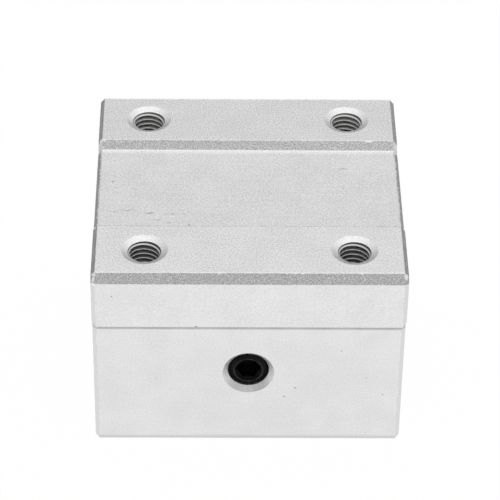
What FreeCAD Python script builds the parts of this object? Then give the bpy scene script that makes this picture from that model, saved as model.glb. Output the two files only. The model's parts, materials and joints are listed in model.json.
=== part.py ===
import FreeCAD, Part
import Sketcher
import itertools
import math
import os
import re

# Open-type linear bearing block for a rail-supported shaft, in millimetres.
# The origin is the middle of the shaft axis. X runs along the shaft, Z points to the mounting face.

SIZES = {
    # Aluminium housing
    "block_length": 45.0,
    "block_width": 45.0,
    "block_height": 33.0,
    "axis_depth": 20.0,          # shaft axis below the mounting face
    "shoulder_height": 9.0,      # mounting face to the step in each side
    "shoulder_step": 1.4,
    "pad_chamfer": 1.15,
    "foot_chamfer": 1.5,
    "end_chamfer": 0.6,
    "recess_width": 18.8,        # flat floor between the two mounting pads
    "recess_depth": 1.08,
    "recess_fillet": 0.5,
    "bolt_spacing_x": 30.0,
    "bolt_spacing_y": 32.0,
    "bolt_hole_diameter": 4.8,   # plain wall that stands for the M5 thread
    "bolt_depth": 12.0,
    "bolt_sink_diameter": 6.7,
    "bolt_sink_angle": 130.0,
    "drill_point_angle": 118.0,
    # Set screw in the front side
    "screw_drop": 18.8,          # mounting face to the screw axis
    "screw_diameter": 6.0,
    "screw_sink_diameter": 7.5,
    "screw_sink_angle": 90.0,
    "screw_recess": 0.55,        # side face to the screw's flat end
    "screw_edge_width": 0.8,
    "screw_edge_rise": 0.8,
    "socket_width": 3.0,
    "socket_depth": 3.0,
    "socket_lead_diameter": 4.1,  # cone that leads the key into the socket
    "cup_diameter": 3.0,
    "cup_depth": 0.8,
    "tip_chamfer": 0.8,
    # Open ball bushing
    "shaft_diameter": 16.0,
    "bushing_length": 37.0,
    "opening_angle": 80.0,       # sector left open for the shaft's support
    "ball_diameter": 3.175,
    "return_lift": 1.2,          # returning balls run this much further out
    "sleeve_wall": 1.565,
    "sleeve_chamfer": 0.5,
    "sleeve_end_lip": 0.6,
    "groove_span": 26.5,         # across the outer edges of the sleeve's two grooves
    "groove_width": 1.6,
    "groove_depth": 0.5,
    "race_width": 2.4,
    "cage_gap": 0.4,
    "cage_end_wall": 1.2,
    "window_width": 2.4,         # narrower than a ball, so the cage holds the balls
    "window_ledge": 1.1,
    # Rubber end seals and their stop rings
    "seal_width": 2.0,
    "seal_rim": 1.8,
    "seal_dish": 0.6,
    "seal_lip_width": 0.8,
    "seal_lip_height": 0.7,
    "seal_lip_edge": 0.15,
    "stop_thickness": 0.8,
    "stop_width": 1.4,
    "stop_groove_depth": 0.55,
    "stop_gap_angle": 96.0,
    # Retaining rings that hold the bushing in the housing
    "ring_thickness": 1.2,
    "ring_width": 2.4,
    "ring_eccentricity": 0.4,
    "ring_groove_depth": 0.7,
    "ring_gap_angle": 92.0,
    "lug_radius": 1.7,
    "lug_lead_angle": 9.0,
    "lug_hole_diameter": 1.6,
    # Fits
    "seat_clearance": 0.02,
    "running_clearance": 0.05,
    "track_clearance": 0.06,
    "cut_overrun": 1.0,          # how far a cutting profile runs past the metal
}

DERIVED = {
    "foot_depth": "block_height - axis_depth",
    "side_face": "block_width / 2 - shoulder_step",
    "arc_angle": "360 - opening_angle",
    "ball_radius": "ball_diameter / 2",
    "track_half": "ball_radius + track_clearance",
    "load_radius": "shaft_diameter / 2 + ball_radius",
    "return_radius": "load_radius + return_lift",
    "leg_spacing": "sqrt(return_radius ^ 2 - load_radius ^ 2)",
    "race_radius": "load_radius + track_half",
    "relief_radius": "return_radius + track_half",
    "sleeve_radius": "relief_radius + sleeve_wall",
    "bore_radius": "sleeve_radius + seat_clearance",
    "cage_inner": "shaft_diameter / 2 + cage_gap",
    "cage_outer": "relief_radius - running_clearance",
    "bushing_half": "bushing_length / 2",
    "stop_groove": "relief_radius + stop_groove_depth",
    "stop_out": "bushing_half - sleeve_end_lip",
    "stop_in": "stop_out - stop_thickness - running_clearance",
    "seal_in": "stop_in - seal_width",
    "seal_outer": "relief_radius - seat_clearance",
    "seal_inner": "seal_outer - seal_rim",
    "cage_half": "seal_in - running_clearance",
    "leg_half": "cage_half - cage_end_wall - track_half - leg_spacing / 2",
    "ring_slot": "ring_thickness + 2 * running_clearance",
    "ring_groove": "bore_radius + ring_groove_depth",
    "ring_outer": "ring_groove - running_clearance",
    "ring_inner": "ring_outer - ring_width",
    "lug_orbit": "ring_outer - lug_radius",
    "lug_angle": "ring_gap_angle / 2 + lug_lead_angle",
    "screw_radius": "screw_diameter / 2 - running_clearance",
    "screw_face": "side_face - screw_recess",
    "screw_tip": "sleeve_radius + running_clearance",
}

TINY = 1e-9
CIRCUIT_NAMES = ("rear", "top", "front")
QUARTER_TURN = 90.0
SIDES = {"left": -1, "right": 1}

doc = FreeCAD.newDocument("linear_bearing_block")


def make_sheet():
    """Write the sizes, then the values worked out from them, into the sheet."""
    sizes = doc.addObject("Spreadsheet::Sheet", "Sizes")
    cells = {name: str(value) for name, value in SIZES.items()}
    cells.update({name: "=" + formula for name, formula in DERIVED.items()})
    for row, (name, content) in enumerate(cells.items(), start=1):
        sizes.set(f"A{row}", name)
        sizes.set(f"B{row}", content)
        sizes.setAlias(f"B{row}", name)
    doc.recompute()
    return sizes


sheet = make_sheet()


def link(text):
    """Turn the size names in a formula into references to the sheet."""
    return re.sub(r"\b[a-z]+(?:_[a-z]+)+\b", r"Sizes.\g<0>", text)


def number(text):
    return float(sheet.evalExpression(link(text)))


def new_body(label):
    body = doc.addObject("PartDesign::Body", label)
    body.Label = label
    return body


def origin_feature(body, role):
    return next(item for item in body.Origin.OriginFeatures if item.Role == role)


def new_sketch(body, name, role, offset="0"):
    """A sketch on one of the body's origin planes, moved along the plane's normal."""
    sketch = body.newObject("Sketcher::SketchObject", name)
    sketch.AttachmentSupport = [(origin_feature(body, role), "")]
    sketch.MapMode = "FlatFace"
    sketch.setExpression("AttachmentOffset.Base.z", link(offset))
    return sketch


def constrain(sketch, formula, kind, *references):
    """Add a dimension to a sketch and tie it to the sheet."""
    index = sketch.addConstraint(Sketcher.Constraint(kind, *references, number(formula)))
    sketch.setExpression(f"Constraints[{index}]", link(formula))


def pin(sketch, geometry, point, x_text, y_text):
    """Hold one point of a sketch at a place given by the sizes."""
    # In a sketch, geometry -1 is the horizontal axis and geometry -2 the vertical one.
    for kind, text, axis in (("DistanceX", x_text, -2), ("DistanceY", y_text, -1)):
        value = number(text)
        if abs(value) < TINY:
            sketch.addConstraint(Sketcher.Constraint("PointOnObject", geometry, point, axis))
        elif value > 0:
            constrain(sketch, text, kind, -1, 1, geometry, point)
        else:
            constrain(sketch, f"-({text})", kind, geometry, point, -1, 1)


def polygon(sketch, points):
    """A closed outline of straight lines through the given points."""
    places = [FreeCAD.Vector(number(x), number(y), 0) for x, y in points]
    lines = [sketch.addGeometry(Part.LineSegment(start, end))
             for start, end in zip(places, places[1:] + places[:1])]
    for line, following in zip(lines, lines[1:] + lines[:1]):
        sketch.addConstraint(Sketcher.Constraint("Coincident", line, 2, following, 1))
    for line, (x, y) in zip(lines, points):
        pin(sketch, line, 1, x, y)


def circle(sketch, x, y, radius):
    centre = FreeCAD.Vector(number(x), number(y), 0)
    geometry = sketch.addGeometry(Part.Circle(centre, FreeCAD.Vector(0, 0, 1), number(radius)))
    pin(sketch, geometry, 3, x, y)
    constrain(sketch, radius, "Radius", geometry)


def obround(sketch, half_length, middle, radius):
    """Two half circles joined by straight lines along the sketch's x axis."""
    half, height, round_off = number(half_length), number(middle), number(radius)
    up = FreeCAD.Vector(0, 0, 1)

    def half_circle(x, start):
        whole = Part.Circle(FreeCAD.Vector(x, height, 0), up, round_off)
        return sketch.addGeometry(Part.ArcOfCircle(whole, start, start + math.pi))

    def straight(x, y):
        start = FreeCAD.Vector(x, y, 0)
        return sketch.addGeometry(Part.LineSegment(start, FreeCAD.Vector(-x, y, 0)))

    right = half_circle(half, -math.pi / 2)
    upper = straight(half, height + round_off)
    left = half_circle(-half, math.pi / 2)
    lower = straight(-half, height - round_off)
    loop = (right, upper, left, lower)
    for piece, following in zip(loop, loop[1:] + loop[:1]):
        sketch.addConstraint(Sketcher.Constraint("Tangent", piece, 2, following, 1))
    pin(sketch, right, 3, half_length, middle)
    pin(sketch, left, 3, f"-({half_length})", middle)
    sketch.addConstraint(Sketcher.Constraint("Equal", right, left))
    constrain(sketch, radius, "Radius", right)


def extrude(body, kind, name, sketch, length, side="Symmetric", reverse=False):
    """Pad or pocket a sketch by a length from the sheet."""
    feature = body.newObject("PartDesign::" + kind, name)
    feature.Profile = sketch
    feature.SideType = side
    feature.Reversed = reverse
    feature.setExpression("Length", link(length))
    return feature


def revolve(body, kind, name, sketch, angle, axis="H_Axis"):
    """Turn a sketch about one of its axes, evenly to both sides of its plane."""
    feature = body.newObject("PartDesign::" + kind, name)
    feature.Profile = sketch
    feature.ReferenceAxis = (sketch, [axis])
    feature.Midplane = True
    feature.setExpression("Angle", link(angle))
    return feature


def pattern_circuits(body, name, originals):
    """Repeat the rear ball circuit's features at the top and the front."""
    pattern = body.newObject("PartDesign::PolarPattern", name)
    pattern.Originals = originals
    pattern.Axis = (origin_feature(body, "X_Axis"), [""])
    pattern.Angle = QUARTER_TURN * (len(CIRCUIT_NAMES) - 1)
    pattern.Occurrences = len(CIRCUIT_NAMES)
    body.Tip = pattern


def dress_edges(body, kind, name, base, size_property, size, wanted):
    """Chamfer or fillet the edges of a feature whose points all pass a test."""
    doc.recompute()
    edges = [f"Edge{index}" for index, edge in enumerate(base.Shape.Edges, start=1)
             if all(wanted(point) for point in edge.discretize(3))]
    feature = body.newObject("PartDesign::" + kind, name)
    feature.Base = (base, edges)
    feature.setExpression(size_property, link(size))
    return feature


def drill(body, name, sketch, diameter, depth, sink_diameter, sink_angle):
    """Countersunk blind holes at the circles of a sketch."""
    doc.recompute()
    hole = body.newObject("PartDesign::Hole", name)
    hole.Profile = sketch
    doc.recompute()
    hole.DepthType = "Dimension"
    hole.DrillPoint = "Angled"
    hole.HoleCutType = "Countersink"
    hole.HoleCutCustomValues = True
    hole.setExpression("Diameter", link(diameter))
    hole.setExpression("Depth", link(depth))
    hole.setExpression("DrillPointAngle", link("drill_point_angle"))
    hole.setExpression("HoleCutDiameter", link(sink_diameter))
    hole.setExpression("HoleCutCountersinkAngle", link(sink_angle))
    return hole


def sector_below(sketch, half_angle, reach):
    """A wedge that opens downwards from the shaft axis."""
    spread = f"({reach}) * tan({half_angle})"
    polygon(sketch, [("0", "0"), (spread, f"-({reach})"), (f"-({spread})", f"-({reach})")])


def housing_outline():
    """Half of the extrusion's section as (y, z), from the recess floor to the foot."""
    return [
        ("recess_width / 2", "axis_depth - recess_depth"),
        ("recess_width / 2 + recess_depth", "axis_depth"),
        ("block_width / 2 - pad_chamfer", "axis_depth"),
        ("block_width / 2", "axis_depth - pad_chamfer"),
        ("block_width / 2", "axis_depth - shoulder_height"),
        ("side_face", "axis_depth - shoulder_height"),
        ("side_face", "foot_chamfer - foot_depth"),
        ("side_face - foot_chamfer", "-foot_depth"),
    ]


def mirrored_outline(half):
    """Complete an outline that is symmetric about the sketch's y axis."""
    return half + [(f"-({x})", y) for x, y in reversed(half)]


def make_housing():
    body = new_body("housing")

    section = new_sketch(body, "section", "YZ_Plane")
    polygon(section, mirrored_outline(housing_outline()))
    extrusion = extrude(body, "Pad", "extrusion", section, "block_length")

    floor_edge = number("recess_width / 2")
    floor_level = number("axis_depth - recess_depth")
    dress_edges(
        body, "Fillet", "recess_corners", extrusion, "Radius", "recess_fillet",
        lambda point: abs(abs(point.y) - floor_edge) < TINY and abs(point.z - floor_level) < TINY)

    bore_sketch = new_sketch(body, "bore_circle", "YZ_Plane")
    circle(bore_sketch, "0", "0", "bore_radius")
    extrude(body, "Pocket", "bore", bore_sketch, "block_length + cut_overrun")

    slot_sketch = new_sketch(body, "slot_sector", "YZ_Plane")
    sector_below(slot_sketch, "opening_angle / 2", "foot_depth + cut_overrun")
    slot = extrude(body, "Pocket", "rail_slot", slot_sketch, "block_length + cut_overrun")

    end = number("block_length / 2")
    dress_edges(body, "Chamfer", "end_edges", slot, "Size", "end_chamfer",
                lambda point: abs(abs(point.x) - end) < TINY)

    groove_sketch = new_sketch(body, "ring_groove_section", "XZ_Plane")
    polygon(groove_sketch, [
        ("bushing_half", "bore_radius - cut_overrun"),
        ("bushing_half + ring_slot", "bore_radius - cut_overrun"),
        ("bushing_half + ring_slot", "ring_groove"),
        ("bushing_half", "ring_groove"),
    ])
    groove = revolve(body, "Groove", "ring_groove", groove_sketch, "360")
    both_grooves = body.newObject("PartDesign::Mirrored", "ring_grooves")
    both_grooves.Originals = [groove]
    both_grooves.MirrorPlane = (origin_feature(body, "YZ_Plane"), [""])
    body.Tip = both_grooves

    bolt_sketch = new_sketch(body, "bolt_places", "XY_Plane", "axis_depth")
    for x_side, y_side in itertools.product((-1, 1), repeat=2):
        circle(bolt_sketch, f"{x_side} * bolt_spacing_x / 2", f"{y_side} * bolt_spacing_y / 2",
               "bolt_hole_diameter / 2")
    drill(body, "bolt_holes", bolt_sketch, "bolt_hole_diameter", "bolt_depth",
          "bolt_sink_diameter", "bolt_sink_angle")

    screw_sketch = new_sketch(body, "screw_place", "XZ_Plane", "side_face")
    circle(screw_sketch, "0", "axis_depth - screw_drop", "screw_diameter / 2")
    drill(body, "screw_hole", screw_sketch, "screw_diameter", "side_face - sleeve_radius / 2",
          "screw_sink_diameter", "screw_sink_angle")
    return body


def make_set_screw():
    body = new_body("set_screw")
    body.setExpression("Placement.Base.z", link("axis_depth - screw_drop"))

    turned = new_sketch(body, "turned_outline", "XY_Plane")
    polygon(turned, [
        ("0", "socket_lead_diameter / 2 - screw_face"),
        ("socket_lead_diameter / 2", "-screw_face"),
        ("screw_radius - screw_edge_width", "-screw_face"),
        ("screw_radius", "screw_edge_rise - screw_face"),
        ("screw_radius", "-screw_tip - tip_chamfer"),
        ("screw_radius - tip_chamfer", "-screw_tip"),
        ("cup_diameter / 2", "-screw_tip"),
        ("0", "-screw_tip - cup_depth"),
    ])
    revolve(body, "Revolution", "turned_blank", turned, "360", "V_Axis")

    socket = new_sketch(body, "socket_hexagon", "XZ_Plane", "screw_face")
    corner = "socket_width / sqrt(3)"
    polygon(socket, [(f"{corner} * cos({turn})", f"{corner} * sin({turn})")
                     for turn in range(0, 360, 60)])
    extrude(body, "Pocket", "socket", socket, "socket_depth", "One side")
    return body


def make_sleeve():
    body = new_body("bearing_sleeve")

    section = new_sketch(body, "sleeve_section", "XZ_Plane")
    polygon(section, mirrored_outline([
        ("stop_in", "relief_radius"),
        ("stop_in", "stop_groove"),
        ("stop_out", "stop_groove"),
        ("stop_out", "relief_radius"),
        ("bushing_half", "relief_radius"),
        ("bushing_half", "sleeve_radius - sleeve_chamfer"),
        ("bushing_half - sleeve_chamfer", "sleeve_radius"),
        ("groove_span / 2", "sleeve_radius"),
        ("groove_span / 2", "sleeve_radius - groove_depth"),
        ("groove_span / 2 - groove_width", "sleeve_radius - groove_depth"),
        ("groove_span / 2 - groove_width", "sleeve_radius"),
    ]))
    revolve(body, "Revolution", "open_sleeve", section, "arc_angle")

    race_section = new_sketch(body, "race_section", "XY_Plane")
    root = "relief_radius + sleeve_wall / 3"
    polygon(race_section, mirrored_outline([("leg_half", "race_radius"), ("leg_half", root)]))
    race = revolve(body, "Revolution", "race", race_section, "2 * asin(race_width / 2 / race_radius)")
    pattern_circuits(body, "races", [race])
    return body


def make_retainer():
    """The moulded cage: each track has a load leg with a window and a return leg further out."""
    body = new_body("ball_retainer")

    section = new_sketch(body, "cage_section", "XZ_Plane")
    polygon(section, mirrored_outline([("cage_half", "cage_inner"), ("cage_half", "cage_outer")]))
    revolve(body, "Revolution", "open_cage", section, "arc_angle")

    features = []
    for name, half_width, length, inwards in (
            ("ball_channel", "track_half", "cage_outer", False),
            ("ball_window", "window_width / 2", "track_half - window_ledge", True)):
        ring = new_sketch(body, name + "_loop", "XZ_Plane", "window_ledge - load_radius")
        for sign in "+-":
            obround(ring, "leg_half", "leg_spacing / 2", f"leg_spacing / 2 {sign} {half_width}")
        features.append(extrude(body, "Pocket", name, ring, length, "One side", inwards))
    pattern_circuits(body, "tracks", features)
    return body


def geodesic_ball(radius):
    """A ball of flat triangles: an icosahedron with each face split in four."""
    golden = (1 + math.sqrt(5)) / 2
    corners = []
    for short, tall in itertools.product((-1, 1), (-golden, golden)):
        corners += [FreeCAD.Vector(0, short, tall), FreeCAD.Vector(short, tall, 0),
                    FreeCAD.Vector(tall, 0, short)]
    edge = min(corners[0].distanceToPoint(other) for other in corners[1:])
    faces = []
    for trio in itertools.combinations(corners, 3):
        if all(abs(a.distanceToPoint(b) - edge) < TINY for a, b in itertools.combinations(trio, 2)):
            a, b, c = trio
            ab, bc, ca = a + b, b + c, c + a
            for triangle in ((a, ab, ca), (b, bc, ab), (c, ca, bc), (ab, bc, ca)):
                rim = [FreeCAD.Vector(point).normalize() * radius for point in triangle]
                faces.append(Part.Face(Part.makePolygon(rim + rim[:1])))
    shell = Part.makeShell(faces)
    shell.sewShape()
    return Part.makeSolid(Part.Shell(shell.Faces))


def track_places():
    """Centres of the balls, spaced evenly round the rear circuit."""
    straight = 2 * sheet.leg_half
    turn_radius = sheet.leg_spacing / 2
    length = 2 * straight + 2 * math.pi * turn_radius
    closest = sheet.ball_diameter + sheet.track_clearance
    closest_on_turn = 2 * turn_radius * math.asin(closest / (2 * turn_radius))
    count = int(length // closest_on_turn)
    places = []
    for index in range(count):
        distance = length * index / count
        side, along = divmod(distance, length / 2)
        if along < straight:
            x, z = along - straight / 2, -turn_radius
        else:
            turn = (along - straight) / turn_radius
            x = straight / 2 + turn_radius * math.sin(turn)
            z = -turn_radius * math.cos(turn)
        if side:
            x, z = -x, -z
        places.append(FreeCAD.Vector(x, sheet.load_radius, turn_radius + z))
    return places


def make_balls():
    """One endless row of balls for each track of the cage."""
    ball = geodesic_ball(sheet.ball_radius)
    balls = []
    for index, name in enumerate(CIRCUIT_NAMES):
        turn = FreeCAD.Rotation(FreeCAD.Vector(1, 0, 0), QUARTER_TURN * index)
        for count, place in enumerate(track_places(), start=1):
            item = doc.addObject("Part::Feature", f"ball_{name}_{count:02d}")
            item.Shape = ball
            item.Placement = FreeCAD.Placement(turn.multVec(place), turn)
            balls.append(item)
    return balls


def make_seal(name, side):
    body = new_body("end_seal_" + name)
    section = new_sketch(body, f"seal_section_{name}", "XZ_Plane")
    half = [
        ("seal_in", "seal_outer"),
        ("stop_in", "seal_outer"),
        ("stop_in", "seal_inner"),
        ("stop_in - seal_dish", "seal_inner - seal_dish"),
        ("stop_in - seal_dish", "shaft_diameter / 2 + seal_lip_height"),
        ("stop_in", "shaft_diameter / 2 + seal_lip_edge"),
        ("stop_in", "shaft_diameter / 2"),
        ("stop_in - seal_lip_width", "shaft_diameter / 2"),
        ("seal_in + seal_dish", "shaft_diameter / 2 + seal_lip_height"),
        ("seal_in + seal_dish", "seal_inner - seal_dish"),
        ("seal_in", "seal_inner"),
    ]
    polygon(section, [(f"{side} * ({x})", r) for x, r in half])
    revolve(body, "Revolution", f"seal_{name}", section, "arc_angle")
    return body


def make_stop_ring(name, side):
    body = new_body("stop_ring_" + name)
    section = new_sketch(body, f"stop_section_{name}", "XZ_Plane")
    near = f"{side} * (stop_in + running_clearance / 2)"
    far = f"{side} * (stop_out - running_clearance / 2)"
    outer = "stop_groove - running_clearance"
    inner = "stop_groove - running_clearance - stop_width"
    polygon(section, [(near, inner), (far, inner), (far, outer), (near, outer)])
    revolve(body, "Revolution", f"stop_{name}", section, "360 - stop_gap_angle")
    return body


def make_retaining_ring(name, side):
    """An internal circlip: widest opposite its gap, with a drilled lug at each end."""
    body = new_body("retaining_ring_" + name)
    body.setExpression(
        "Placement.Base.x", link(f"{side} * (bushing_half + running_clearance + ring_thickness / 2)"))

    ring = new_sketch(body, f"ring_circles_{name}", "YZ_Plane")
    circle(ring, "0", "0", "ring_outer")
    circle(ring, "0", "-ring_eccentricity", "ring_inner")
    extrude(body, "Pad", f"ring_{name}", ring, "ring_thickness")

    gap = new_sketch(body, f"ring_gap_{name}", "YZ_Plane")
    sector_below(gap, "ring_gap_angle / 2", "ring_outer + cut_overrun")
    extrude(body, "Pocket", f"gap_{name}", gap, "ring_thickness + cut_overrun")

    for kind, feature, radius, length in (
            ("Pad", "lugs", "lug_radius", "ring_thickness"),
            ("Pocket", "lug_holes", "lug_hole_diameter / 2", "ring_thickness + cut_overrun")):
        places = new_sketch(body, f"{feature}_places_{name}", "YZ_Plane")
        for y_side in (-1, 1):
            circle(places, f"{y_side} * lug_orbit * sin(lug_angle)", "-lug_orbit * cos(lug_angle)", radius)
        extrude(body, kind, f"{feature}_{name}", places, length)
    return body


def make_parts():
    parts = [make_housing(), make_set_screw(), make_sleeve(), make_retainer()]
    parts += make_balls()
    for maker in (make_seal, make_stop_ring, make_retaining_ring):
        parts += [maker(name, side) for name, side in SIDES.items()]
    doc.recompute()
    return parts


def check(parts):
    for item in doc.Objects:
        if "Invalid" in item.State or "Error" in item.State:
            raise RuntimeError(f"{item.Label} did not rebuild: {item.State}")
    for part in parts:
        if part.Shape.isNull() or not part.Shape.isValid() or not part.Shape.Solids:
            raise RuntimeError(f"{part.Label} has no valid solid")


def export(parts):
    os.makedirs("parts", exist_ok=True)
    for part in parts:
        part.Shape.exportStep(f"parts/{part.Label}.step")
        print(part.Label, len(part.Shape.Solids), "solids", round(part.Shape.Volume, 1), "mm3")


all_parts = make_parts()
check(all_parts)
export(all_parts)
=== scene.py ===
import json
import math
import re
from types import SimpleNamespace

import bmesh
import bpy
from mathutils import Matrix, Vector


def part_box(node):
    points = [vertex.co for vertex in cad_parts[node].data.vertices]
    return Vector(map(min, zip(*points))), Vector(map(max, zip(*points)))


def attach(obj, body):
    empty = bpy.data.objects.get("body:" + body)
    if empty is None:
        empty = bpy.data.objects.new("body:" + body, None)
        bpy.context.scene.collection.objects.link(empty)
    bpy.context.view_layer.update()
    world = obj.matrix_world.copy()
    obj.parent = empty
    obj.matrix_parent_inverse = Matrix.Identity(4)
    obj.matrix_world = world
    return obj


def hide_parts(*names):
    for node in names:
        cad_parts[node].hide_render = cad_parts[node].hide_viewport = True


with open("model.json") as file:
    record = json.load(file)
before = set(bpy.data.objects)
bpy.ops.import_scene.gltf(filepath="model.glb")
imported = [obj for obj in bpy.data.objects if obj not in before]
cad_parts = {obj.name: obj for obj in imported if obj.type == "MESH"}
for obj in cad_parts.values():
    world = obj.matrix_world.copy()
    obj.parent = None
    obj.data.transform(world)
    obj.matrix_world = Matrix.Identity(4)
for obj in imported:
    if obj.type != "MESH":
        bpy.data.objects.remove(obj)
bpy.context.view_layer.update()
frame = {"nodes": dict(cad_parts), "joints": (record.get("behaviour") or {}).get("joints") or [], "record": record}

# Looks of an open-type linear bearing block. Lengths are in millimetres, except the floor's radius, the
# lamp's measures and the camera's near limit, which are in metres.

MM = 0.001
COLLECTION = bpy.context.scene.collection

# Housing: half sizes and heights that the materials follow, and the grey level of its skin
HOUSING_LOW, HOUSING_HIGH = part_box("housing")
TOP = HOUSING_HIGH.z / MM
FOOT = HOUSING_LOW.z / MM
HALF_LENGTH = HOUSING_HIGH.x / MM
HALF_WIDTH = HOUSING_HIGH.y / MM
PAD_EDGE = 10.48
RECESS_FOOT = 9.4
CHAMFER_EDGE = HALF_WIDTH - 1.15
FOOT_EDGE = FOOT + 1.5
SHOULDER_Z = TOP - 9.0
BORE_RADIUS = 14.72
SKIN_LEVEL = 0.84

# Tapped holes and the ridges of their threads
MOUNTS = {mount["name"]: mount for mount in frame["record"]["mounts"]}
BOLTS = MOUNTS["table_bolts"]["dims"]
BOLT_X = BOLTS["spacing_x_mm"] / 2
BOLT_Y = BOLTS["spacing_y_mm"] / 2
BOLT_PITCH = 0.8
BOLT_ROOT = BOLTS["hole_r_mm"]
BOLT_CREST = 2.17
HOLE_TOP = MOUNTS["table_bolts"]["pos_m"][2] / MM
SINK_RADIUS = 3.35
SINK_DEPTH = TOP - HOLE_TOP
THREAD_DEPTH = 11.3
RIDGE_START = 0.35
RIDGE_HALF_FOOT = 0.34
RIDGE_HALF_CREST = 0.07
RIDGE_EMBED = 0.03
STEPS_PER_TURN = 48
FIRST_STEP = STEPS_PER_TURN // 4

# Set screw, with its face to the front
SCREW_LOW, SCREW_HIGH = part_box("set_screw")
SCREW_Z = frame["joints"][0]["pos_m"][2] / MM
SCREW_RADIUS = SCREW_HIGH.x / MM
SCREW_FACE = SCREW_LOW.y / MM
SCREW_LENGTH = (SCREW_HIGH.y - SCREW_LOW.y) / MM
SCREW_CHAMFER = 0.8
SCREW_SINK_RADIUS = 3.75
SCREW_PITCH = 1.0
SCREW_THREAD_DEPTH = 0.5
SCREW_CREST_SHARE = 0.18
SCREW_FLANK_SHARE = 0.64
SCREW_AROUND = 72
SCREW_LEVEL_HEIGHT = 0.06
SOCKET_WIDTH = 3.0
SOCKET_DEPTH = 3.0
SOCKET_LEAD = 2.05
CUP_RADIUS = 1.5
CUP_DEPTH = 0.8
TINY_RADIUS = 0.02

# Rounded edges. Facets of curved faces meet at up to 17 degrees, and sharp edges at more than these angles.
SMOOTH_ANGLE = math.radians(20)
BEVEL_ANGLE = math.radians(21)
PIECE_ANGLE = math.radians(30)
FLAT_ANGLE = math.radians(0.4)
WELD_DISTANCE = 0.002
BEVEL_SEGMENTS = 2
HOUSING_EDGE = 0.12
BUSHING_EDGE = 0.06
SEAL_EDGE = 0.05
CIRCLIP_EDGE = 0.10
BALL_SUBDIVISIONS = 3

# Range of a noise that the materials use
NOISE_LOW = 0.3
NOISE_HIGH = 0.7

# Floor: its radius, its gap below the block and its share of white as the camera sees it
FLOOR_RADIUS = 3.0
FLOOR_SIDES = 64
FLOOR_GAP = 0.02
FLOOR_WHITE = 0.985

# Photograph's camera: place in millimetres, angles in degrees
CAMERA_PLACE = (-5.50, -307.05, 249.90)
CAMERA_PITCH = 38.307
CAMERA_YAW = 1.093
CAMERA_ROLL = 0.895
CAMERA_LENS = 187.41
CAMERA_SENSOR = 36.0
CAMERA_NEAR = 0.01

# Scuffs, and nick marks with painted highlights, on the housing: middle and half sizes
SCUFFS = (
    ((-19.5, -22.5, 16.6), (0.20, 0.20, 0.14)),
    ((-7.6, -22.5, 11.1), (0.22, 0.20, 0.16)),
    ((13.4, -21.1, 5.6), (0.09, 0.20, 0.40)),
    ((6.9, -21.1, -1.7), (0.30, 0.20, 0.16)),
    ((5.1, -21.1, -3.4), (0.24, 0.20, 0.20)),
    ((19.7, -21.1, -3.2), (0.16, 0.20, 0.16)),
    ((-20.1, -5.7, 19.0), (1.20, 0.09, 0.40)),
    ((-18.0, -5.4, 19.0), (1.50, 0.08, 0.40)),
    ((-14.4, -6.2, 19.0), (1.30, 0.09, 0.40)),
    ((-11.6, -6.4, 19.0), (1.10, 0.09, 0.40)),
    ((-13.3, -7.8, 19.0), (1.10, 0.12, 0.40)),
    ((-11.7, -8.3, 19.0), (0.90, 0.10, 0.40)),
    ((-8.6, -8.8, 19.0), (0.22, 0.22, 0.40)),
    ((-20.2, 1.6, 19.0), (0.50, 0.12, 0.40)),
    ((-16.2, 3.4, 19.0), (0.40, 0.12, 0.40)),
    ((14.1, 5.0, 19.0), (1.00, 0.12, 0.40)),
    ((-20.0, 6.7, 19.0), (0.20, 0.20, 0.40)),
)
NICKS_WITH_HIGHLIGHTS = (
    ((-4.3, -21.3, 20.0), (0.55, 0.22, 0.30)),
    ((7.5, -21.3, 20.0), (0.35, 0.20, 0.30)),
    ((15.8, -21.3, 20.0), (0.28, 0.20, 0.30)),
    ((18.2, 10.5, 20.0), (0.90, 0.30, 0.30)),
    ((-22.1, -21.5, 19.8), (0.40, 0.55, 0.55)),
    ((-22.2, -22.0, 19.3), (0.36, 0.55, 0.55)),
    ((-22.2, -22.4, 18.8), (0.34, 0.45, 0.50)),
    ((22.1, -21.6, 19.6), (0.40, 0.60, 0.60)),
    ((-22.2, -10.5, 19.6), (0.40, 0.45, 0.40)),
    ((-22.1, 10.5, 19.8), (0.40, 0.40, 0.40)),
    ((-21.7, 10.5, 20.0), (0.45, 0.25, 0.30)),
)


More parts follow.
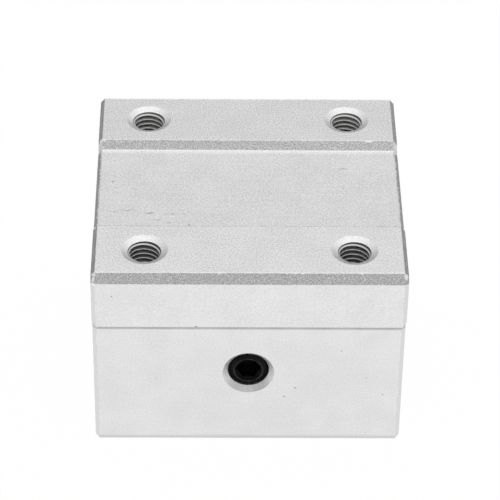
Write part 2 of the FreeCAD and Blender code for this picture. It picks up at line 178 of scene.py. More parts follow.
class Graph:
    """Shader nodes of one tree, made by short calls that each return an output socket."""

    def __init__(self, tree):
        self.tree = tree

    def feed(self, socket, value):
        """Link a socket into another one, or set its value."""
        if isinstance(value, bpy.types.NodeSocket):
            self.tree.links.new(value, socket)
        else:
            socket.default_value = value

    def add(self, kind, output, inputs, **settings):
        made = self.tree.nodes.new("ShaderNode" + kind)
        for key, value in settings.items():
            setattr(made, key, value)
        for key, value in inputs.items():
            self.feed(made.inputs[key], value)
        return made.outputs[output]

    def split(self, vector):
        made = self.tree.nodes.new("ShaderNodeSeparateXYZ")
        self.feed(made.inputs[0], vector)
        return tuple(made.outputs)

    def math(self, operation, *values):
        return self.add("Math", 0, dict(enumerate(values)), operation=operation)

    def chain(self, operation, values):
        """Apply an operation of two values to all the values, one after another."""
        total = values[0]
        for value in values[1:]:
            total = self.math(operation, total, value)
        return total

    def plus(self, *values):
        return self.chain("ADD", values)

    def times(self, *values):
        """Product of values, and so the overlap of masks."""
        return self.chain("MULTIPLY", values)

    def most(self, *values):
        """Largest of values, and so the union of masks."""
        return self.chain("MAXIMUM", values)

    def outside(self, mask):
        return self.math("SUBTRACT", 1.0, mask)

    def size(self, value):
        return self.math("ABSOLUTE", value)

    def distance(self, value, middle):
        return self.size(self.math("SUBTRACT", value, middle))

    def length(self, *parts):
        return self.math("SQRT", self.plus(*(self.math("MULTIPLY", part, part) for part in parts)))

    def span(self, value, start, end, low=0.0, high=1.0):
        """Map a value smoothly from start..end to low..high."""
        limits = {"From Min": start, "From Max": end, "To Min": low, "To Max": high}
        return self.add("MapRange", "Result", {"Value": value, **limits}, interpolation_type="SMOOTHSTEP")

    def vector(self, operation, *values):
        return self.add("VectorMath", 0, dict(enumerate(values)), operation=operation)

    def shade(self, factor, colour):
        """Multiply a colour by a factor."""
        return self.add("VectorMath", 0, {0: colour[:3], 3: factor}, operation="SCALE")

    def mix(self, factor, first, second):
        return self.add("Mix", 2, {0: factor, 6: first, 7: second}, data_type="RGBA")


class Finish(Graph):
    """A material whose nodes follow places on the part, in millimetres, and its normals."""

    def __init__(self, name, metallic):
        self.material = bpy.data.materials.new(name)
        self.material.use_nodes = True
        super().__init__(self.material.node_tree)
        self.shader = self.tree.nodes["Principled BSDF"]
        self.shader.inputs["Metallic"].default_value = metallic
        coordinates = self.tree.nodes.new("ShaderNodeTexCoord").outputs
        self.place = self.add("VectorMath", 0, {0: coordinates["Object"], 3: 1 / MM}, operation="SCALE")
        self.x, self.y, self.z = self.split(self.place)
        self.normal_x, self.normal_y, self.normal_z = self.split(coordinates["Normal"])

    def noise(self, scale, detail=2.0, stretch=(1, 1, 1), roughness=0.5):
        """Noise with features of about 1 / scale millimetres."""
        place = self.vector("MULTIPLY", self.place, stretch)
        numbers = {"Scale": scale, "Detail": detail, "Roughness": roughness}
        return self.add("TexNoise", "Fac", {"Vector": place, **numbers})

    def vary(self, noise, low, high):
        """Map a noise to low..high."""
        return self.span(noise, NOISE_LOW, NOISE_HIGH, low, high)

    def specks(self, spacing, size, stretch=(1, 1, 1)):
        """Small separate specks: 1 inside a speck, 0 elsewhere."""
        place = self.vector("MULTIPLY", self.place, stretch)
        wobble = self.add("TexNoise", "Color", {"Vector": place, "Scale": 2 / size})
        bent = self.vector("MULTIPLY_ADD", wobble, (size, size, size), place)
        distance = self.add("TexVoronoi", "Distance", {"Vector": bent, "Scale": 1 / spacing})
        return self.span(distance, 0.7 * size / spacing, 0.4 * size / spacing)

    def spots(self, spots, scale, reach):
        """Spots at given middles with given half sizes, made crooked by noise that reaches some way."""
        wobble = self.add("TexNoise", "Color", {"Vector": self.place, "Scale": scale})
        shift = self.vector("SUBTRACT", wobble, (0.5, 0.5, 0.5))
        bent = self.vector("MULTIPLY_ADD", shift, (2 * reach, 2 * reach, 2 * reach), self.place)
        return self.most(*(self.spot(bent, middle, half_size) for middle, half_size in spots))

    def spot(self, place, middle, half_size):
        """One spot that fades out at the rim of an ellipsoid."""
        scaled = self.vector("DIVIDE", self.vector("SUBTRACT", place, middle), half_size)
        return self.span(self.add("VectorMath", "Value", {0: scaled}, operation="LENGTH"), 1.0, 0.5)

    def from_bolt_axis(self):
        """Distance from the axis of the nearest tapped hole."""
        beside = self.math("SUBTRACT", self.size(self.x), BOLT_X)
        behind = self.math("SUBTRACT", self.size(self.y), BOLT_Y)
        return self.length(beside, behind)

    def from_screw_axis(self):
        return self.length(self.x, self.math("SUBTRACT", self.z, SCREW_Z))

    def bump(self, height, depth, strength):
        """Raise the surface by a height of 0 to 1 times a depth in millimetres."""
        made = self.add("Bump", 0, {"Height": height, "Distance": depth * MM, "Strength": strength})
        self.feed(self.shader.inputs["Normal"], made)

    def finish(self, colour, roughness):
        self.feed(self.shader.inputs["Base Color"], colour)
        self.feed(self.shader.inputs["Roughness"], roughness)
        return self.material


def grey(level, warmth=0.0):
    return (level * (1 + warmth), level, level * (1 - warmth), 1.0)


def housing_zones(g):
    """Masks that say where each kind of surface is on the housing, and the measures they come from."""
    across = g.size(g.y)
    bolt_radius = g.from_bolt_axis()
    screw_radius = g.from_screw_axis()
    in_bolt_hole = g.times(g.span(bolt_radius, SINK_RADIUS + 0.06, SINK_RADIUS), g.span(g.z, 4, 5))
    in_screw_hole = g.times(
        g.span(screw_radius, SCREW_SINK_RADIUS + 0.06, SCREW_SINK_RADIUS),
        g.span(g.y, -13, -14),
    )
    in_bore = g.span(g.length(g.y, g.z), BORE_RADIUS + 1.0, BORE_RADIUS + 0.8)
    machined = g.most(in_bolt_hole, in_screw_hole, in_bore)
    recess_wall = g.times(
        g.span(across, RECESS_FOOT + 0.02, RECESS_FOOT + 0.18),
        g.span(across, PAD_EDGE + 0.12, PAD_EDGE),
        g.span(g.normal_z, 0.98, 0.92),
        g.span(g.normal_z, 0.3, 0.5),
    )
    slope = g.times(2.0, g.size(g.normal_y), g.normal_z)
    end_slope = g.times(2.0, g.size(g.normal_x), g.length(g.normal_y, g.normal_z))
    return SimpleNamespace(
        along=g.size(g.x),
        across=across,
        bolt_radius=bolt_radius,
        screw_radius=screw_radius,
        in_bolt_hole=in_bolt_hole,
        in_screw_hole=in_screw_hole,
        machined=machined,
        lengthwise_cut=g.most(g.times(g.span(slope, 0.7, 0.9), g.outside(machined)), recess_wall),
        end_cut=g.times(g.span(end_slope, 0.7, 0.9), g.outside(machined)),
        end_face=g.span(g.size(g.normal_x), 0.9, 0.97),
        level_face=g.span(g.normal_z, 0.8, 0.9),
    )


def blasted_skin(g):
    """Grain, clouds and drag lines of the blasted skin, and the level that they give it, with painted shading:
    darker towards the bottom and, on level faces, lighter towards the front.
    """
    grain = g.noise(4.5, 3.0, roughness=0.6)
    cloud = g.noise(0.22, 2.0)
    drag = g.noise(1.0, 3.0, (0.12, 3.0, 3.0))
    upper = g.span(g.normal_z, 0.8, 0.95)
    coarse = g.times(g.span(g.normal_z, 0.8, 0.95, 1.1, 2.2), g.span(g.z, TOP - 0.5, TOP - 0.2, 1.0, 1.25))
    level = g.plus(
        1.0,
        g.times(g.span(grain, 0.25, 0.75, -0.09, 0.09), coarse),
        # Painted shading: darker towards the bottom.
        g.span(g.z, FOOT, TOP, -0.025, 0.012),
        g.vary(cloud, -0.02, 0.02),
        # Painted shading: level faces lighter towards the front.
        g.times(upper, g.span(g.y, -20, 20, 0.025, -0.025)),
        g.times(g.span(drag, 0.35, 0.75, -0.02, 0.02), g.span(g.normal_z, 0.5, 0.9, 0.35, 1.0)),
    )
    sparkle = g.noise(6.0, 2.0, roughness=0.6)
    return SimpleNamespace(grain=grain, cloud=cloud, sparkle=sparkle, level=level)


def end_chamfers(g, zones, skin, cut_tone):
    """Colour of the chamfers round the ends: dark, but rubbed pale where they cross the recess."""
    upward = g.span(g.normal_z, 0.3, 0.6)
    side_tone = g.shade(g.vary(skin.grain, 0.96, 1.04), grey(1.0))
    tone = g.mix(upward, side_tone, g.shade(cut_tone, grey(0.56)))
    dark = g.vector("MULTIPLY", tone, grey(0.76, 0.004)[:3])
    wall_end = g.times(
        g.span(zones.across, RECESS_FOOT - 0.5, RECESS_FOOT - 0.3),
        g.span(zones.across, PAD_EDGE + 0.1, PAD_EDGE - 0.1),
        g.span(g.z, TOP - 2.0, TOP - 1.8),
    )
    ragged = g.plus(zones.along, g.vary(g.noise(2.0, 3.0), -0.10, 0.10))
    floor_end = g.times(
        g.span(ragged, HALF_LENGTH - 0.38, HALF_LENGTH - 0.47),
        upward,
        g.span(zones.across, RECESS_FOOT, RECESS_FOOT - 0.2),
    )
    return g.mix(g.most(wall_end, floor_end), dark, g.shade(skin.level, grey(0.86)))


def cut_faces(g, zones, skin, colour):
    """Add the coarse sparkle of the cut chamfers, and a painted highlight on a strip before the rear recess wall.
    """
    cut_tone = g.span(skin.sparkle, 0.36, 0.66, 0.70, 1.30)
    cut_level = g.times(cut_tone, g.span(zones.across, 11, 12, 1.08, 1.0))
    colour = g.mix(zones.lengthwise_cut, colour, g.shade(cut_level, grey(0.61, 0.003)))
    flecks = g.times(g.specks(1.1, 0.20), zones.lengthwise_cut)
    colour = g.mix(flecks, colour, grey(0.90))
    # Painted highlight on the recess floor along the foot of the rear wall.
    recess_foot_highlight = g.times(
        g.span(g.y, RECESS_FOOT - 1.1, RECESS_FOOT - 0.3),
        g.span(g.z, TOP - 0.4, TOP - 0.6),
        g.outside(zones.lengthwise_cut),
    )
    colour = g.mix(recess_foot_highlight, colour, g.shade(skin.level, grey(0.99)))
    return g.mix(zones.end_cut, colour, end_chamfers(g, zones, skin, cut_tone))


def machined_faces(g, zones, colour):
    """Add fine rings to turned faces, painted shade on turned faces that face the rear and on the walls between
    the threads' crests, and saw marks to the ends.
    """
    rings = g.math("SINE", g.times(g.math("MINIMUM", zones.bolt_radius, zones.screw_radius), 50.0))
    chatter = g.noise(3.0, 2.0)
    # Painted shade: turned faces that face the rear are darker.
    turned = g.times(
        g.plus(g.span(rings, -1, 1, 0.95, 1.03), g.vary(chatter, -0.06, 0.04)),
        g.span(zones.in_screw_hole, 0.0, 1.0, 1.0, 0.86),
        g.span(g.normal_y, -0.15, 0.25, 1.0, 0.80),
    )
    colour = g.mix(zones.machined, colour, g.shade(turned, grey(0.91)))
    # Painted shade: the tapped holes' walls below the countersinks are dark.
    tapped = g.times(zones.in_bolt_hole, g.span(g.z, HOLE_TOP - 0.02, HOLE_TOP - 0.06))
    lines = g.noise(1.0, 2.0, (0.6, 0.6, 16.0))
    colour = g.mix(tapped, colour, g.shade(g.vary(lines, 0.6, 1.5), grey(0.38, 0.02)))
    saw = g.noise(1.0, 2.0, (1.0, 0.3, 7.0))
    return g.mix(zones.end_face, colour, g.shade(g.vary(saw, 0.93, 1.05), grey(0.76)))


def painted_shade(g, zones, skin, colour):
    """Add painted shade along the front pad's far edge, under the shoulders and above the foot."""
    upright = g.size(g.normal_y)
    # Painted shade: a dark line along the front pad's far edge.
    pad_edge_shade = g.times(
        g.span(g.distance(g.y, 0.02 - PAD_EDGE), 0.18, 0.06),
        zones.level_face,
        g.span(g.noise(0.9, 3.0), 0.35, 0.6, 0.15, 0.65),
    )
    colour = g.mix(pad_edge_shade, colour, grey(0.36))
    # Painted shade under the shoulders, darkest next to the shoulder.
    shoulder_shade = g.times(
        g.span(g.z, SHOULDER_Z - 1.71, SHOULDER_Z - 1.38),
        g.span(g.z, SHOULDER_Z + 0.1, SHOULDER_Z),
        g.span(zones.across, HALF_WIDTH - 0.2, HALF_WIDTH - 0.4),
        g.span(upright, 0.5, 0.8),
    )
    shoulder_shade_tone = g.times(
        g.vary(skin.cloud, 0.92, 1.08),
        g.span(g.z, SHOULDER_Z - 1.4, SHOULDER_Z, 1.0, 0.6),
    )
    colour = g.mix(shoulder_shade, colour, g.shade(shoulder_shade_tone, grey(0.50)))
    # Painted shade: upright faces darker just above the foot chamfer.
    foot = g.times(g.span(g.z, FOOT_EDGE + 0.7, FOOT_EDGE + 0.2), g.span(upright, 0.8, 0.9), 0.45)
    return g.mix(foot, colour, grey(0.52))


def dark_marks(g, skin):
    """Mask of the pits and scuffs."""
    pits = g.specks(3.4, 0.16)
    fine_pits = g.times(g.specks(1.7, 0.10), g.span(skin.cloud, 0.5, 0.6))
    torn = g.span(g.noise(2.5, 3.0), 0.32, 0.48)
    scuffs = g.times(g.spots(SCUFFS, 0.7, 0.5), torn)
    return g.most(g.times(g.most(pits, fine_pits), 0.6), g.times(scuffs, 0.75))


def nicks_with_highlights(g):
    """Mask of the nick marks, worn metal with a painted highlight, the same on the housing's faces and its edges.
    """
    return g.spots(NICKS_WITH_HIGHLIGHTS, 2.5, 0.22)


def burr_and_highlight(g, zones):
    """Mask of the broken line of burrs with a painted highlight along the chamfers' upper edges and the rear pad's
    front edge.
    """
    pad_burr_and_highlight = g.times(
        g.span(g.y, PAD_EDGE + 0.38, PAD_EDGE + 0.22),
        g.span(g.y, 9, 10),
        g.span(g.z, TOP - 0.2, TOP - 0.1),
        0.7,
    )
    # Painted highlight along the chamfers' upper edges and the rear pad's front edge.
    return g.times(
        g.most(g.span(zones.across, CHAMFER_EDGE - 0.32, CHAMFER_EDGE - 0.20), pad_burr_and_highlight),
        zones.level_face,
        g.span(g.noise(1.5, 3.0), 0.38, 0.58, 0.1, 1.0),
    )


def blasted_aluminium():
    """Bead-blasted, clear anodised aluminium with cut chamfers, machined holes, light wear, painted shade and
    painted highlights.
    """
    g = Finish("blasted_aluminium", metallic=1.0)
    zones = housing_zones(g)
    skin = blasted_skin(g)
    colour = g.shade(skin.level, grey(SKIN_LEVEL))
    colour = cut_faces(g, zones, skin, colour)
    colour = machined_faces(g, zones, colour)
    # Painted shade along the front pad's far edge, under the shoulders and above the foot.
    colour = painted_shade(g, zones, skin, colour)
    marks = dark_marks(g, skin)
    colour = g.mix(marks, colour, grey(0.24, 0.02))
    scratches = g.times(g.specks(1.6, 0.05, (0.06, 1.0, 1.0)), g.span(g.noise(0.12, 1.0), 0.5, 0.62), 0.35)
    colour = g.mix(scratches, colour, grey(0.45, 0.02))
    # Nick marks and burred edge lines: worn metal with painted highlights, in white.
    colour = g.mix(g.most(nicks_with_highlights(g), burr_and_highlight(g, zones)), colour, grey(1.0))
    cut_relief = g.times(skin.sparkle, g.most(zones.lengthwise_cut, zones.end_cut), 1.6)
    g.bump(g.plus(g.times(skin.grain, 0.8), g.times(marks, -1.5), cut_relief), 0.02, 0.6)
    return g.finish(colour, g.plus(g.vary(skin.grain, 0.46, 0.56), g.times(zones.machined, -0.04)))


def worn_edge():
    """Bare bright metal along the rubbed edges, broken up by small nick marks, with painted shade on some edges
    and a painted highlight on the front top edge.
    """
    g = Finish("worn_edge", metallic=1.0)
    wear = g.noise(1.3, 3.0)
    fine = g.noise(6.0, 2.0)
    # Painted shade: the edges are darker at the shoulders, where they face the rear and just above the foot.
    level = g.times(
        g.plus(g.span(wear, 0.42, 0.66, 0.74, 1.04), g.vary(fine, -0.08, 0.08)),
        g.span(g.distance(g.z, SHOULDER_Z), 0.2, 0.1, 1.0, 0.5),
        g.span(g.normal_y, 0.1, 0.4, 1.0, 0.5),
        g.span(g.z, FOOT_EDGE + 0.4, FOOT_EDGE + 0.2, 1.0, 0.5),
    )
    # Painted highlight along the front top edge; the rear pad's front edge is a little darker.
    front_top_highlight = g.times(g.span(g.z, TOP - 0.3, TOP - 0.2), g.span(g.y, -20, -21), 0.08)
    rear_pad = g.span(g.distance(g.y, PAD_EDGE), 0.4, 0.3, 1.0, 0.86)
    # The nick marks get a painted highlight as well.
    level = g.plus(g.times(g.plus(level, front_top_highlight), rear_pad), g.times(nicks_with_highlights(g), 0.35))
    g.bump(fine, 0.03, 0.6)
    return g.finish(g.shade(level, grey(0.90)), g.span(wear, 0.4, 0.7, 0.5, 0.32))


def tapped_aluminium():
    """Cut threads: rubbed crests and the first turn's lip with painted highlights, and flanks in painted shade,
    darker towards the roots and lighter in the rear holes.
    """
    g = Finish("tapped_aluminium", metallic=1.0)
    lines = g.noise(1.0, 2.0, (0.6, 0.6, 16.0))
    chips = g.noise(3.0, 2.0)
    radius = g.from_bolt_axis()
    # Painted highlight on the crests.
    crest_highlight = g.times(g.span(radius, BOLT_CREST + 0.06, BOLT_CREST + 0.03), g.span(chips, 0.3, 0.6, 0.7, 1.0))
    # Painted highlight on the first turn's lip.
    first_turn_highlight = g.times(
        g.span(g.z, HOLE_TOP - 0.75, HOLE_TOP - 0.55),
        g.span(radius, BOLT_CREST + 0.18, BOLT_CREST + 0.10),
    )
    # Painted shade on the flanks: darker towards the roots, lighter in the rear holes.
    flank_shade = g.times(
        g.vary(lines, 0.7, 1.4),
        g.span(radius, BOLT_CREST, BOLT_ROOT, 1.2, 0.6),
        g.span(g.y, -10, 10, 1.0, 2.2),
    )
    flank = g.mix(first_turn_highlight, g.shade(flank_shade, grey(0.12, 0.02)), grey(0.85))
    g.bump(chips, 0.015, 0.5)
    return g.finish(g.mix(crest_highlight, flank, grey(1.0)), g.vary(chips, 0.34, 0.48))


def black_oxide():
    """Oiled black oxide on steel, with a painted highlight along the socket's rim and painted shade on the
    socket's walls.
    """
    g = Finish("black_oxide", metallic=0.0)
    g.shader.inputs["Specular IOR Level"].default_value = 0.10
    patches = g.noise(1.2, 3.0)
    grit = g.noise(9.0, 2.0)
    radius = g.from_screw_axis()
    # Painted highlight: a thin pale line round the socket's rim.
    rim = g.times(
        g.span(g.distance(radius, SOCKET_LEAD + 0.02), 0.10, 0.04),
        g.span(g.y, SCREW_FACE + 0.15, SCREW_FACE + 0.05),
        g.span(patches, 0.35, 0.65, 0.3, 1.0),
    )
    # Painted shade: the socket's walls are near black.
    socket_shade = g.times(
        g.span(radius, SOCKET_LEAD, SOCKET_LEAD - 0.1),
        g.span(g.y, SCREW_FACE + 2, SCREW_FACE + 1),
    )
    level = g.times(
        g.plus(g.vary(patches, 0.7, 1.3), g.vary(grit, -0.2, 0.25)),
        g.span(socket_shade, 0.0, 1.0, 1.0, 0.1),
    )
    rubbed = g.times(g.specks(0.9, 0.07), g.outside(socket_shade))
    # Rubbed specks are wear; the rim line is a painted highlight.
    rubbed_and_rim_highlight = g.most(g.times(rubbed, 0.5), g.times(rim, 0.4))
    colour = g.mix(rubbed_and_rim_highlight, g.shade(level, grey(0.010)), grey(0.14))
    g.bump(grit, 0.01, 0.5)
    return g.finish(colour, g.vary(patches, 0.36, 0.54))


def ground_steel():
    """Hardened bearing steel with fine grinding lines round the axis."""
    g = Finish("ground_steel", metallic=1.0)
    lines = g.noise(1.0, 3.0, (26.0, 0.5, 0.5))
    haze = g.noise(0.4, 2.0)
    level = g.plus(g.vary(lines, 0.92, 1.06), g.vary(haze, -0.04, 0.04))
    g.bump(lines, 0.004, 0.6)
    return g.finish(g.shade(level, grey(0.60, -0.008)), g.vary(lines, 0.24, 0.36))


def moulded_resin():
    """Dark moulded cage resin with a fine satin grain and faint flow marks."""
    g = Finish("moulded_resin", metallic=0.0)
    grain = g.noise(8.0, 2.0)
    flow = g.noise(0.5, 3.0, (0.4, 1.0, 1.0))
    level = g.plus(g.vary(grain, 0.9, 1.1), g.vary(flow, -0.15, 0.15))
    g.bump(grain, 0.012, 0.4)
    return g.finish(g.shade(level, grey(0.045, -0.03)), g.vary(grain, 0.40, 0.52))


def polished_steel():
    """Lapped balls: near mirrors with the finest running marks."""
    g = Finish("polished_steel", metallic=1.0)
    marks = g.noise(3.0, 4.0, (1.0, 5.0, 1.0))
    haze = g.noise(0.8, 2.0)
    level = g.plus(g.span(marks, 0.35, 0.7, 0.96, 1.03), g.vary(haze, -0.03, 0.03))
    return g.finish(g.shade(level, grey(0.74, -0.006)), g.span(marks, 0.35, 0.75, 0.06, 0.16))


def seal_rubber():
    """Black nitrile rubber with a matt mould skin and a trace of dust."""
    g = Finish("seal_rubber", metallic=0.0)
    skin = g.noise(7.0, 3.0)
    dust = g.noise(1.4, 4.0)
    level = g.plus(g.vary(skin, 0.85, 1.15), g.span(dust, 0.5, 0.75, 0.0, 0.5))
    g.bump(skin, 0.015, 0.5)
    return g.finish(g.shade(level, grey(0.022)), g.span(dust, 0.4, 0.75, 0.5, 0.72))


def phosphated_steel():
    """Punched spring steel with a dark phosphate coat."""
    g = Finish("phosphated_steel", metallic=0.8)
    coat = g.noise(5.0, 3.0)
    streak = g.noise(1.0, 2.0, (4.0, 0.6, 0.6))
    level = g.plus(g.vary(coat, 0.85, 1.15), g.vary(streak, -0.1, 0.1))
    rubbed = g.times(g.specks(1.1, 0.09), 0.4)
    colour = g.mix(rubbed, g.shade(level, grey(0.13, 0.01)), grey(0.45))
    g.bump(coat, 0.012, 0.5)
    return g.finish(colour, g.vary(coat, 0.38, 0.55))


def smooth_by_angle(angle):
    """Geometry nodes that join split corners and shade smooth except at sharp edges."""
    group = bpy.data.node_groups.new("smooth_by_angle", "GeometryNodeTree")
    for direction in ("INPUT", "OUTPUT"):
        group.interface.new_socket("Geometry", in_out=direction, socket_type="NodeSocketGeometry")
    start = group.nodes.new("NodeGroupInput")
    end = group.nodes.new("NodeGroupOutput")
    clear = group.nodes.new("GeometryNodeRemoveAttribute")
    clear.inputs["Name"].default_value = "custom_normal"
    weld = group.nodes.new("GeometryNodeMergeByDistance")
    weld.inputs["Distance"].default_value = WELD_DISTANCE * MM
    soft = group.nodes.new("GeometryNodeSetShadeSmooth")
    soft.domain = "FACE"
    bend = group.nodes.new("GeometryNodeInputMeshEdgeAngle")
    sharp = group.nodes.new("FunctionNodeCompare")
    sharp.data_type = "FLOAT"
    sharp.operation = "GREATER_THAN"
    sharp.inputs["B"].default_value = angle
    hard = group.nodes.new("GeometryNodeSetShadeSmooth")
    hard.domain = "EDGE"
    hard.inputs["Shade Smooth"].default_value = False
    chain = (start, clear, weld, soft, hard, end)
    for first, second in zip(chain, chain[1:]):
        group.links.new(first.outputs[0], second.inputs[0])
    group.links.new(bend.outputs["Unsigned Angle"], sharp.inputs["A"])
    group.links.new(sharp.outputs[0], hard.inputs["Selection"])
    return group


def soften(obj, smooth, width, edge_slot=-1):
    """Round the sharp edges of a solid by a small width, without touching its mesh."""
    weld = obj.modifiers.new("weld", "NODES")
    weld.node_group = smooth
    flat = obj.modifiers.new("flat", "DECIMATE")
    flat.decimate_type = "DISSOLVE"
    flat.angle_limit = FLAT_ANGLE
    bevel = obj.modifiers.new("bevel", "BEVEL")
    bevel.limit_method = "ANGLE"
    bevel.angle_limit = BEVEL_ANGLE
    bevel.width = width * MM
    bevel.segments = BEVEL_SEGMENTS
    bevel.use_clamp_overlap = True
    bevel.material = edge_slot
    bevel.harden_normals = True


def dress(node, *materials):
    """Give a node of the frame its materials."""
    obj = frame["nodes"][node]
    obj.data.materials.clear()
    for material in materials:
        obj.data.materials.append(material)
    return obj


def add_piece(name, bm, material, body):
    """Turn a mesh in millimetres into a piece that rides on a body."""
    bmesh.ops.recalc_face_normals(bm, faces=bm.faces)
    bmesh.ops.scale(bm, vec=(MM, MM, MM), verts=bm.verts)
    mesh = bpy.data.meshes.new(name)
    bm.to_mesh(mesh)
    bm.free()
    mesh.shade_smooth()
    mesh.set_sharp_from_angle(angle=PIECE_ANGLE)
    mesh.materials.append(material)
    obj = bpy.data.objects.new(name, mesh)
    COLLECTION.objects.link(obj)
    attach(obj, body)
    return obj


def capped_tube(rows):
    """A mesh that joins closed rows of points by quads, with a cap on the first and the last row."""
    bm = bmesh.new()
    grid = [[bm.verts.new(point) for point in row] for row in rows]
    for row, following in zip(grid, grid[1:]):
        for index in range(len(row)):
            after = (index + 1) % len(row)
            bm.faces.new((row[index], row[after], following[after], following[index]))
    bm.faces.new(grid[0])
    bm.faces.new(reversed(grid[-1]))
    return bm


def tapped_thread(name, x, y, material):
    """The helical ridge in a tapped hole, cut back at the top by the countersink."""
    foot = BOLT_ROOT + RIDGE_EMBED
    profile = (
        (-RIDGE_HALF_FOOT, foot),
        (-RIDGE_HALF_CREST, BOLT_CREST),
        (RIDGE_HALF_CREST, BOLT_CREST),
        (RIDGE_HALF_FOOT, foot),
    )
    sink_slope = (SINK_RADIUS - BOLT_ROOT) / SINK_DEPTH
    last_step = int(THREAD_DEPTH / BOLT_PITCH * STEPS_PER_TURN)
    rows = []
    for step in range(FIRST_STEP, last_step + 1):
        turn = -2 * math.pi * step / STEPS_PER_TURN
        middle = RIDGE_START + BOLT_PITCH * step / STEPS_PER_TURN
        runout = min(1.0, (last_step - step) / STEPS_PER_TURN)
        row = []
        for offset, radius in profile:
            depth = middle + offset
            reach = foot - (foot - radius) * runout
            reach = max(reach, SINK_RADIUS - depth * sink_slope + RIDGE_EMBED)
            row.append((x + reach * math.cos(turn), y + reach * math.sin(turn), TOP - depth))
        rows.append(row)
    return add_piece(name, capped_tube(rows), material, "block")


def threaded_radius(depth, turn):
    """Radius of the set screw's thread at a depth below its face and an angle, with both ends chamfered."""
    wave = abs((depth / SCREW_PITCH + turn / (2 * math.pi)) % 1.0 - 0.5) * 2
    groove = min(1.0, max(0.0, (wave - SCREW_CREST_SHARE) / SCREW_FLANK_SHARE))
    chamfer = SCREW_CHAMFER - min(depth, SCREW_LENGTH - depth)
    return SCREW_RADIUS - max(SCREW_THREAD_DEPTH * groove, chamfer)


def threaded_set_screw(material):
    """The set screw with its thread, chamfered ends, hexagon socket and cup point."""
    levels = int(SCREW_LENGTH / SCREW_LEVEL_HEIGHT)
    turns = [2 * math.pi * index / SCREW_AROUND for index in range(SCREW_AROUND)]

    def ring(radii, depths):
        return [
            (radius * math.cos(turn), SCREW_FACE + depth, SCREW_Z + radius * math.sin(turn))
            for turn, radius, depth in zip(turns, radii, depths)
        ]

    def circle(radius, depth):
        return ring([radius] * SCREW_AROUND, [depth] * SCREW_AROUND)

    hexagon = [SOCKET_WIDTH / 2 / math.cos(turn % (math.pi / 3) - math.pi / 6) for turn in turns]
    rows = [
        circle(TINY_RADIUS, SOCKET_DEPTH),
        ring(hexagon, [SOCKET_DEPTH] * SCREW_AROUND),
        ring(hexagon, [SOCKET_LEAD - radius for radius in hexagon]),
        circle(SOCKET_LEAD, 0.0),
    ]
    for level in range(levels + 1):
        depth = SCREW_LENGTH * level / levels
        rows.append(ring([threaded_radius(depth, turn) for turn in turns], [depth] * SCREW_AROUND))
    rows.append(circle(CUP_RADIUS, SCREW_LENGTH))
    rows.append(circle(TINY_RADIUS, SCREW_LENGTH - CUP_DEPTH))
    screw = add_piece("threaded_set_screw", capped_tube(rows), material, "adjuster")
    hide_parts("set_screw")


def smooth_ball(node, material):
    """A true ball in place of a faceted solid."""
    low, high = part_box(node)
    radius = max(high - low) / 2 / MM
    centre = Matrix.Translation((low + high) / 2 / MM)
    bm = bmesh.new()
    bmesh.ops.create_icosphere(bm, subdivisions=BALL_SUBDIVISIONS, radius=radius, matrix=centre)
    ball = add_piece("smooth_" + node, bm, material, "block")
    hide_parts(node)


def floor_material():
    """White paper that shows white to the camera, keeps a soft shadow and is clear from below."""
    material = bpy.data.materials.new("white_floor")
    material.use_nodes = True
    g = Graph(material.node_tree)
    g.tree.nodes.clear()
    rays = g.tree.nodes.new("ShaderNodeLightPath").outputs
    seen = g.times(rays["Is Camera Ray"], FLOOR_WHITE)
    share = g.most(seen, rays["Is Glossy Ray"], rays["Is Transmission Ray"])
    paper = g.add("BsdfDiffuse", 0, {"Color": grey(0.9)})
    white = g.add("Emission", 0, {})
    upper = g.add("MixShader", 0, {0: share, 1: paper, 2: white})
    below = g.add("NewGeometry", "Backfacing", {})
    clear = g.add("BsdfTransparent", 0, {})
    sided = g.add("MixShader", 0, {0: below, 1: upper, 2: clear})
    output = g.tree.nodes.new("ShaderNodeOutputMaterial")
    g.feed(output.inputs["Surface"], sided)
    return material


def make_floor():
    bm = bmesh.new()
    bmesh.ops.create_circle(bm, cap_ends=True, segments=FLOOR_SIDES, radius=FLOOR_RADIUS)
    mesh = bpy.data.meshes.new("floor")
    bm.to_mesh(mesh)
    bm.free()
    mesh.materials.append(floor_material())
    floor = bpy.data.objects.new("floor", mesh)
    floor.location.z = (FOOT - FLOOR_GAP) * MM
    COLLECTION.objects.link(floor)


def make_world():
    """Soft studio surroundings: brightest overhead, dimmer in front, on the left and low at the rear."""
    world = bpy.data.worlds.new("studio")
    bpy.context.scene.world = world
    world.use_nodes = True
    g = Graph(world.node_tree)
    background = g.tree.nodes["Background"]
    background.inputs["Color"].default_value = grey(1.0)
    x, y, z = g.split(g.add("TexCoord", "Generated", {}))
    depth_wise = g.span(y, -0.7, 0.5, 0.58, 0.69)
    low = g.span(z, 0.0, 0.40, 0.65, 0.0)
    rear = g.span(y, 0.0, 0.5, 0.0, 1.0)
    sideways = g.span(x, -0.9, 0.4, 0.80, 1.0)
    overhead = g.span(z, 0.45, 0.95, 1.0, 1.52)
    level = g.times(depth_wise, g.outside(g.times(low, rear)), sideways, overhead)
    g.feed(background.inputs["Strength"], level)


def make_lamp(name, place, size, power):
    """A soft rectangular lamp that faces the origin, in metres and watts."""
    lamp = bpy.data.lights.new(name, "AREA")
    lamp.shape = "RECTANGLE"
    lamp.size, lamp.size_y = size
    lamp.energy = power
    obj = bpy.data.objects.new(name, lamp)
    obj.location = place
    obj.rotation_euler = (-obj.location).to_track_quat("-Z", "Y").to_euler()
    COLLECTION.objects.link(obj)


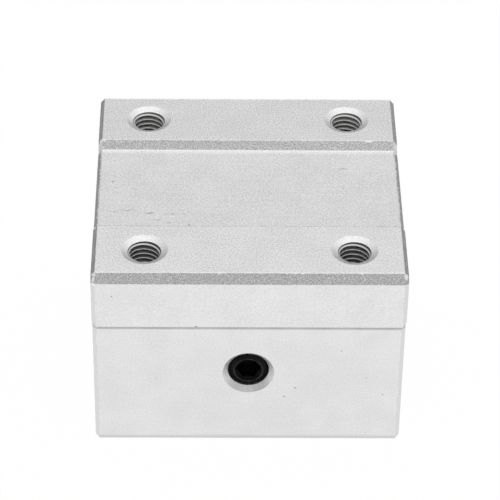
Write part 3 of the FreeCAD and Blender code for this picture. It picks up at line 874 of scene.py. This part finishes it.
def make_camera():
    """The photograph's view, from its pitch, yaw and roll."""
    pitch, yaw, roll = (math.radians(angle) for angle in (CAMERA_PITCH, CAMERA_YAW, CAMERA_ROLL))
    forward = Vector((math.sin(yaw) * math.cos(pitch), math.cos(yaw) * math.cos(pitch), -math.sin(pitch)))
    level_right = Vector((math.cos(yaw), -math.sin(yaw), 0))
    level_down = forward.cross(level_right)
    right = math.cos(roll) * level_right - math.sin(roll) * level_down
    down = math.sin(roll) * level_right + math.cos(roll) * level_down
    data = bpy.data.cameras.new("camera")
    data.sensor_fit = "HORIZONTAL"
    data.sensor_width = CAMERA_SENSOR
    data.lens = CAMERA_LENS
    data.clip_start = CAMERA_NEAR
    camera = bpy.data.objects.new("camera", data)
    axes = Matrix((right, -down, -forward)).transposed().to_4x4()
    camera.matrix_world = Matrix.Translation(Vector(CAMERA_PLACE) * MM) @ axes
    COLLECTION.objects.link(camera)
    bpy.context.scene.camera = camera


smooth = smooth_by_angle(SMOOTH_ANGLE)
soften(dress("housing", blasted_aluminium(), worn_edge()), smooth, HOUSING_EDGE, edge_slot=1)

thread_finish = tapped_aluminium()
for x_name, x_side in (("left", -1), ("right", 1)):
    for y_name, y_side in (("front", -1), ("rear", 1)):
        tapped_thread(f"tapped_thread_{y_name}_{x_name}", x_side * BOLT_X, y_side * BOLT_Y, thread_finish)

screw_finish = black_oxide()
dress("set_screw", screw_finish)
threaded_set_screw(screw_finish)

soften(dress("bearing_sleeve", ground_steel()), smooth, BUSHING_EDGE)
soften(dress("ball_retainer", moulded_resin()), smooth, BUSHING_EDGE)
ball_finish = polished_steel()
for node in sorted(frame["nodes"]):
    if re.fullmatch(r"ball_[a-z]+_[0-9]+", node):
        dress(node, ball_finish)
        smooth_ball(node, ball_finish)
rubber = seal_rubber()
spring = phosphated_steel()
for end in ("left", "right"):
    soften(dress(f"end_seal_{end}", rubber), smooth, SEAL_EDGE)
    soften(dress(f"stop_ring_{end}", spring), smooth, SEAL_EDGE)
    soften(dress(f"retaining_ring_{end}", spring), smooth, CIRCLIP_EDGE)

make_floor()
make_world()
make_lamp("top_softbox", place=(0.03, 0.10, 0.9), size=(1.1, 0.8), power=0.6)
make_camera()
bpy.context.scene.view_settings.view_transform = "Standard"
